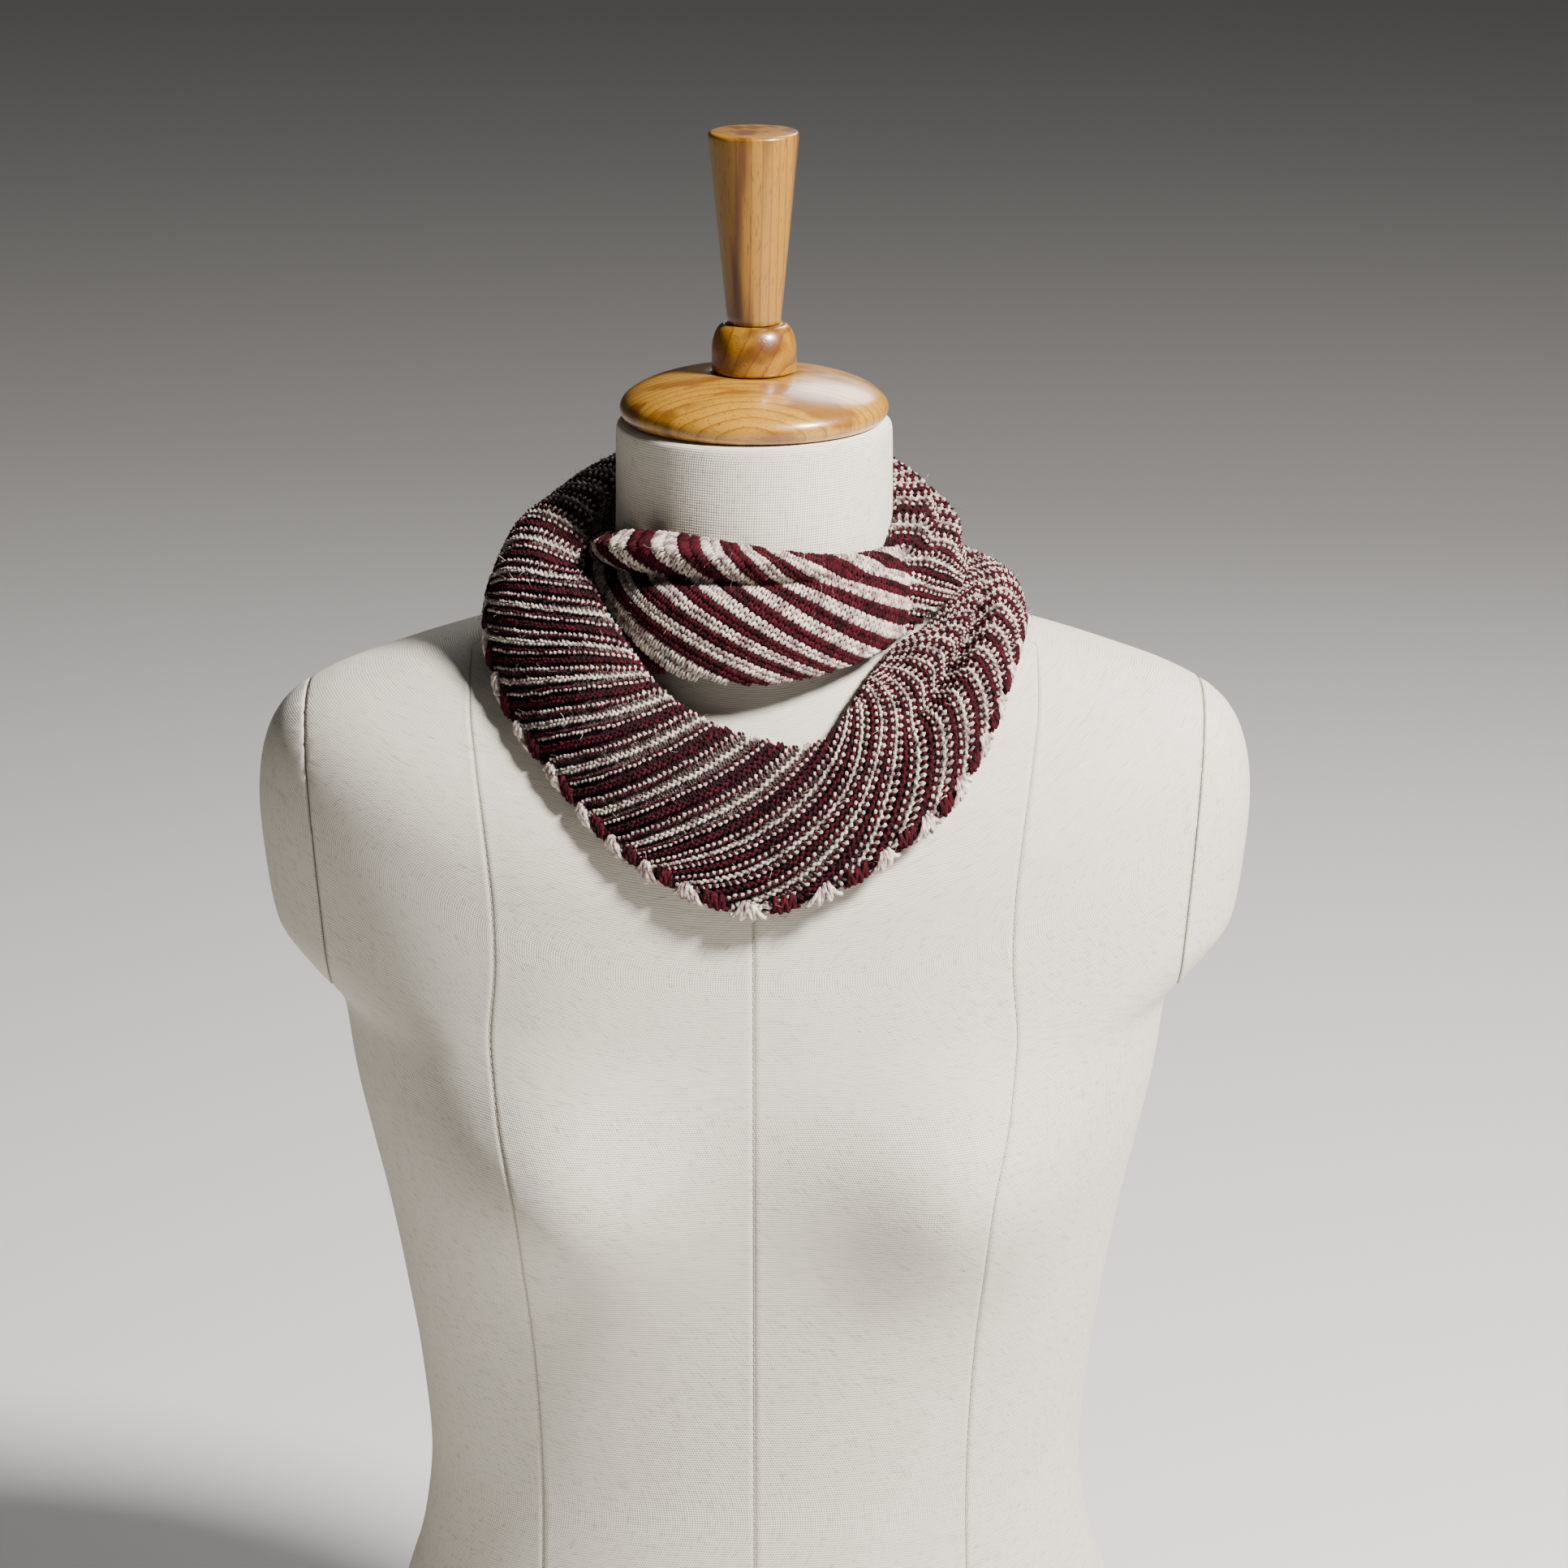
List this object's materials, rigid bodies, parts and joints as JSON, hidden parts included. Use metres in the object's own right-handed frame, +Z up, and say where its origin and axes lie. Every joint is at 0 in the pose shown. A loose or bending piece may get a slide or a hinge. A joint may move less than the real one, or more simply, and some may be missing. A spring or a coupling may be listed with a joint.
{
  "type": "knitted neck warmer on a limbless dress form",
  "caption": "Striped knitted band, folded lengthwise and wound round the neck of a linen-covered bust with a turned wooden neck cap and handle.",
  "frame": {"origin": "the middle of the dress form's flat underside, on the axis of its neck", "axes": "+Z up the neck, the form faces -Y, +X to the right of somebody who looks at its front"},
  "size_m": [0.416, 0.2501, 0.7699],
  "materials": {
    "linen": "off-white plain-woven canvas, matt",
    "wood": "honey-coloured hardwood, turned and varnished",
    "knit": "burgundy and heathered cream wool, knitted in narrow stripes"
  },
  "bodies": {
    "root": {"form_torso": "linen", "form_cap_right": "linen", "form_cap_left": "linen", "form_neck_disc": "wood", "form_bead": "wood", "form_handle": "wood", "cowl_inner_front": "knit", "cowl_inner_left": "knit", "cowl_inner_back": "knit", "cowl_outer_right": "knit", "cowl_outer_front": "knit", "cowl_outer_left": "knit", "cowl_outer_back": "knit", "cowl_inner_right": "knit"}
  },
  "joints": []
}
